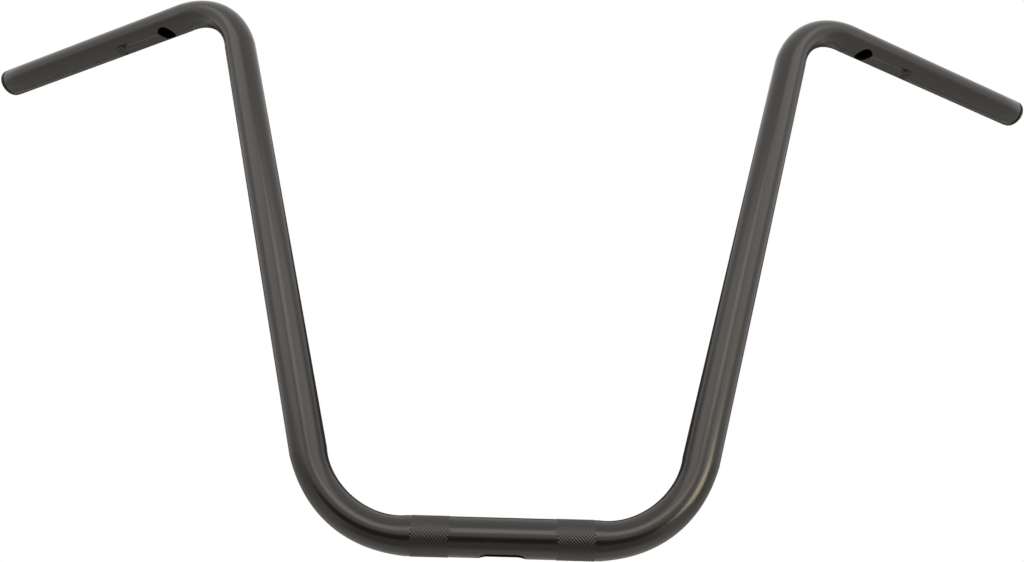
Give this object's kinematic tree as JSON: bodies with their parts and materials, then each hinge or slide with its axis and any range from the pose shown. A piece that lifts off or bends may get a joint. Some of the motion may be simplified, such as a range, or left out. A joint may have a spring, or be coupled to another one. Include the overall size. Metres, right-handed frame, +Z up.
{
  "type": "ape hanger handlebar",
  "caption": "Tall one-piece motorcycle handlebar of bent steel tube in satin black, with knurled clamp bands, a wiring slot, grip channels leading to wiring holes, and end plugs.",
  "frame": {"origin": "on the tube's axis, midway between the two knurled clamp bands", "axes": "+X to the rider's left along the clamped middle, +Y back towards the rider, +Z up, with the risers in the XZ plane"},
  "size_m": [0.998, 0.1359, 0.4663],
  "materials": {
    "satin_black_coat": "satin black powder coat on steel tube",
    "black_plastic": "moulded black polyethylene"
  },
  "bodies": {
    "root": {"bar_tube": "satin_black_coat", "left_end_plug": "black_plastic", "right_end_plug": "black_plastic"}
  },
  "joints": []
}
